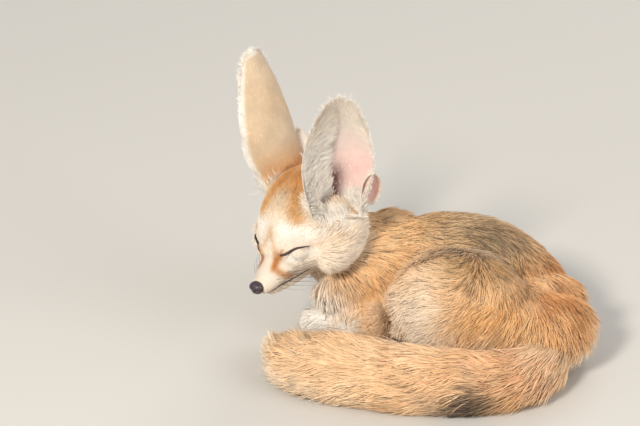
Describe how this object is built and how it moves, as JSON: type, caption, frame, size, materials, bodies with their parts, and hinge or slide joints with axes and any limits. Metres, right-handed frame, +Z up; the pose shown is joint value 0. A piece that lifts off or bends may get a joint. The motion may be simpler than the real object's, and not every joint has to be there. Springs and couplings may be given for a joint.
{
  "type": "fennec fox",
  "caption": "Life-size still model of a fennec fox dozing in a curl on the ground, head up, ears upright, eyes closed, tail wrapped along its near side.",
  "frame": {"origin": "on the ground, under the middle of the whole fox's box", "axes": "+Z up, the head is at -X and looks towards -X and -Y, the back is at +Y, the rump at +X and the tail lies along -Y"},
  "size_m": [0.2332, 0.1746, 0.1995],
  "materials": {
    "coat_sand": "dense soft fur, sandy gold",
    "coat_cream": "dense soft fur, cream",
    "coat_white": "short soft fur, white",
    "coat_dark": "fur, brown black tail tip",
    "eyelid": "closed lids, short fur and a dark line",
    "nose_skin": "moist dark skin"
  },
  "bodies": {
    "root": {"torso": "coat_sand", "thigh_left": "coat_cream", "nose": "nose_skin", "eye_left": "eyelid", "eye_right": "eyelid", "head": "coat_cream", "ear_left": "coat_sand", "ear_right": "coat_sand", "neck": "coat_sand", "foreleg_left": "coat_white", "forepaw_left": "coat_white", "foreleg_right": "coat_white", "forepaw_right": "coat_white", "hindfoot_left": "coat_cream", "hindleg_right": "coat_cream", "tail_root": "coat_sand", "tail_middle": "coat_sand", "tail_tip": "coat_dark"}
  },
  "joints": []
}
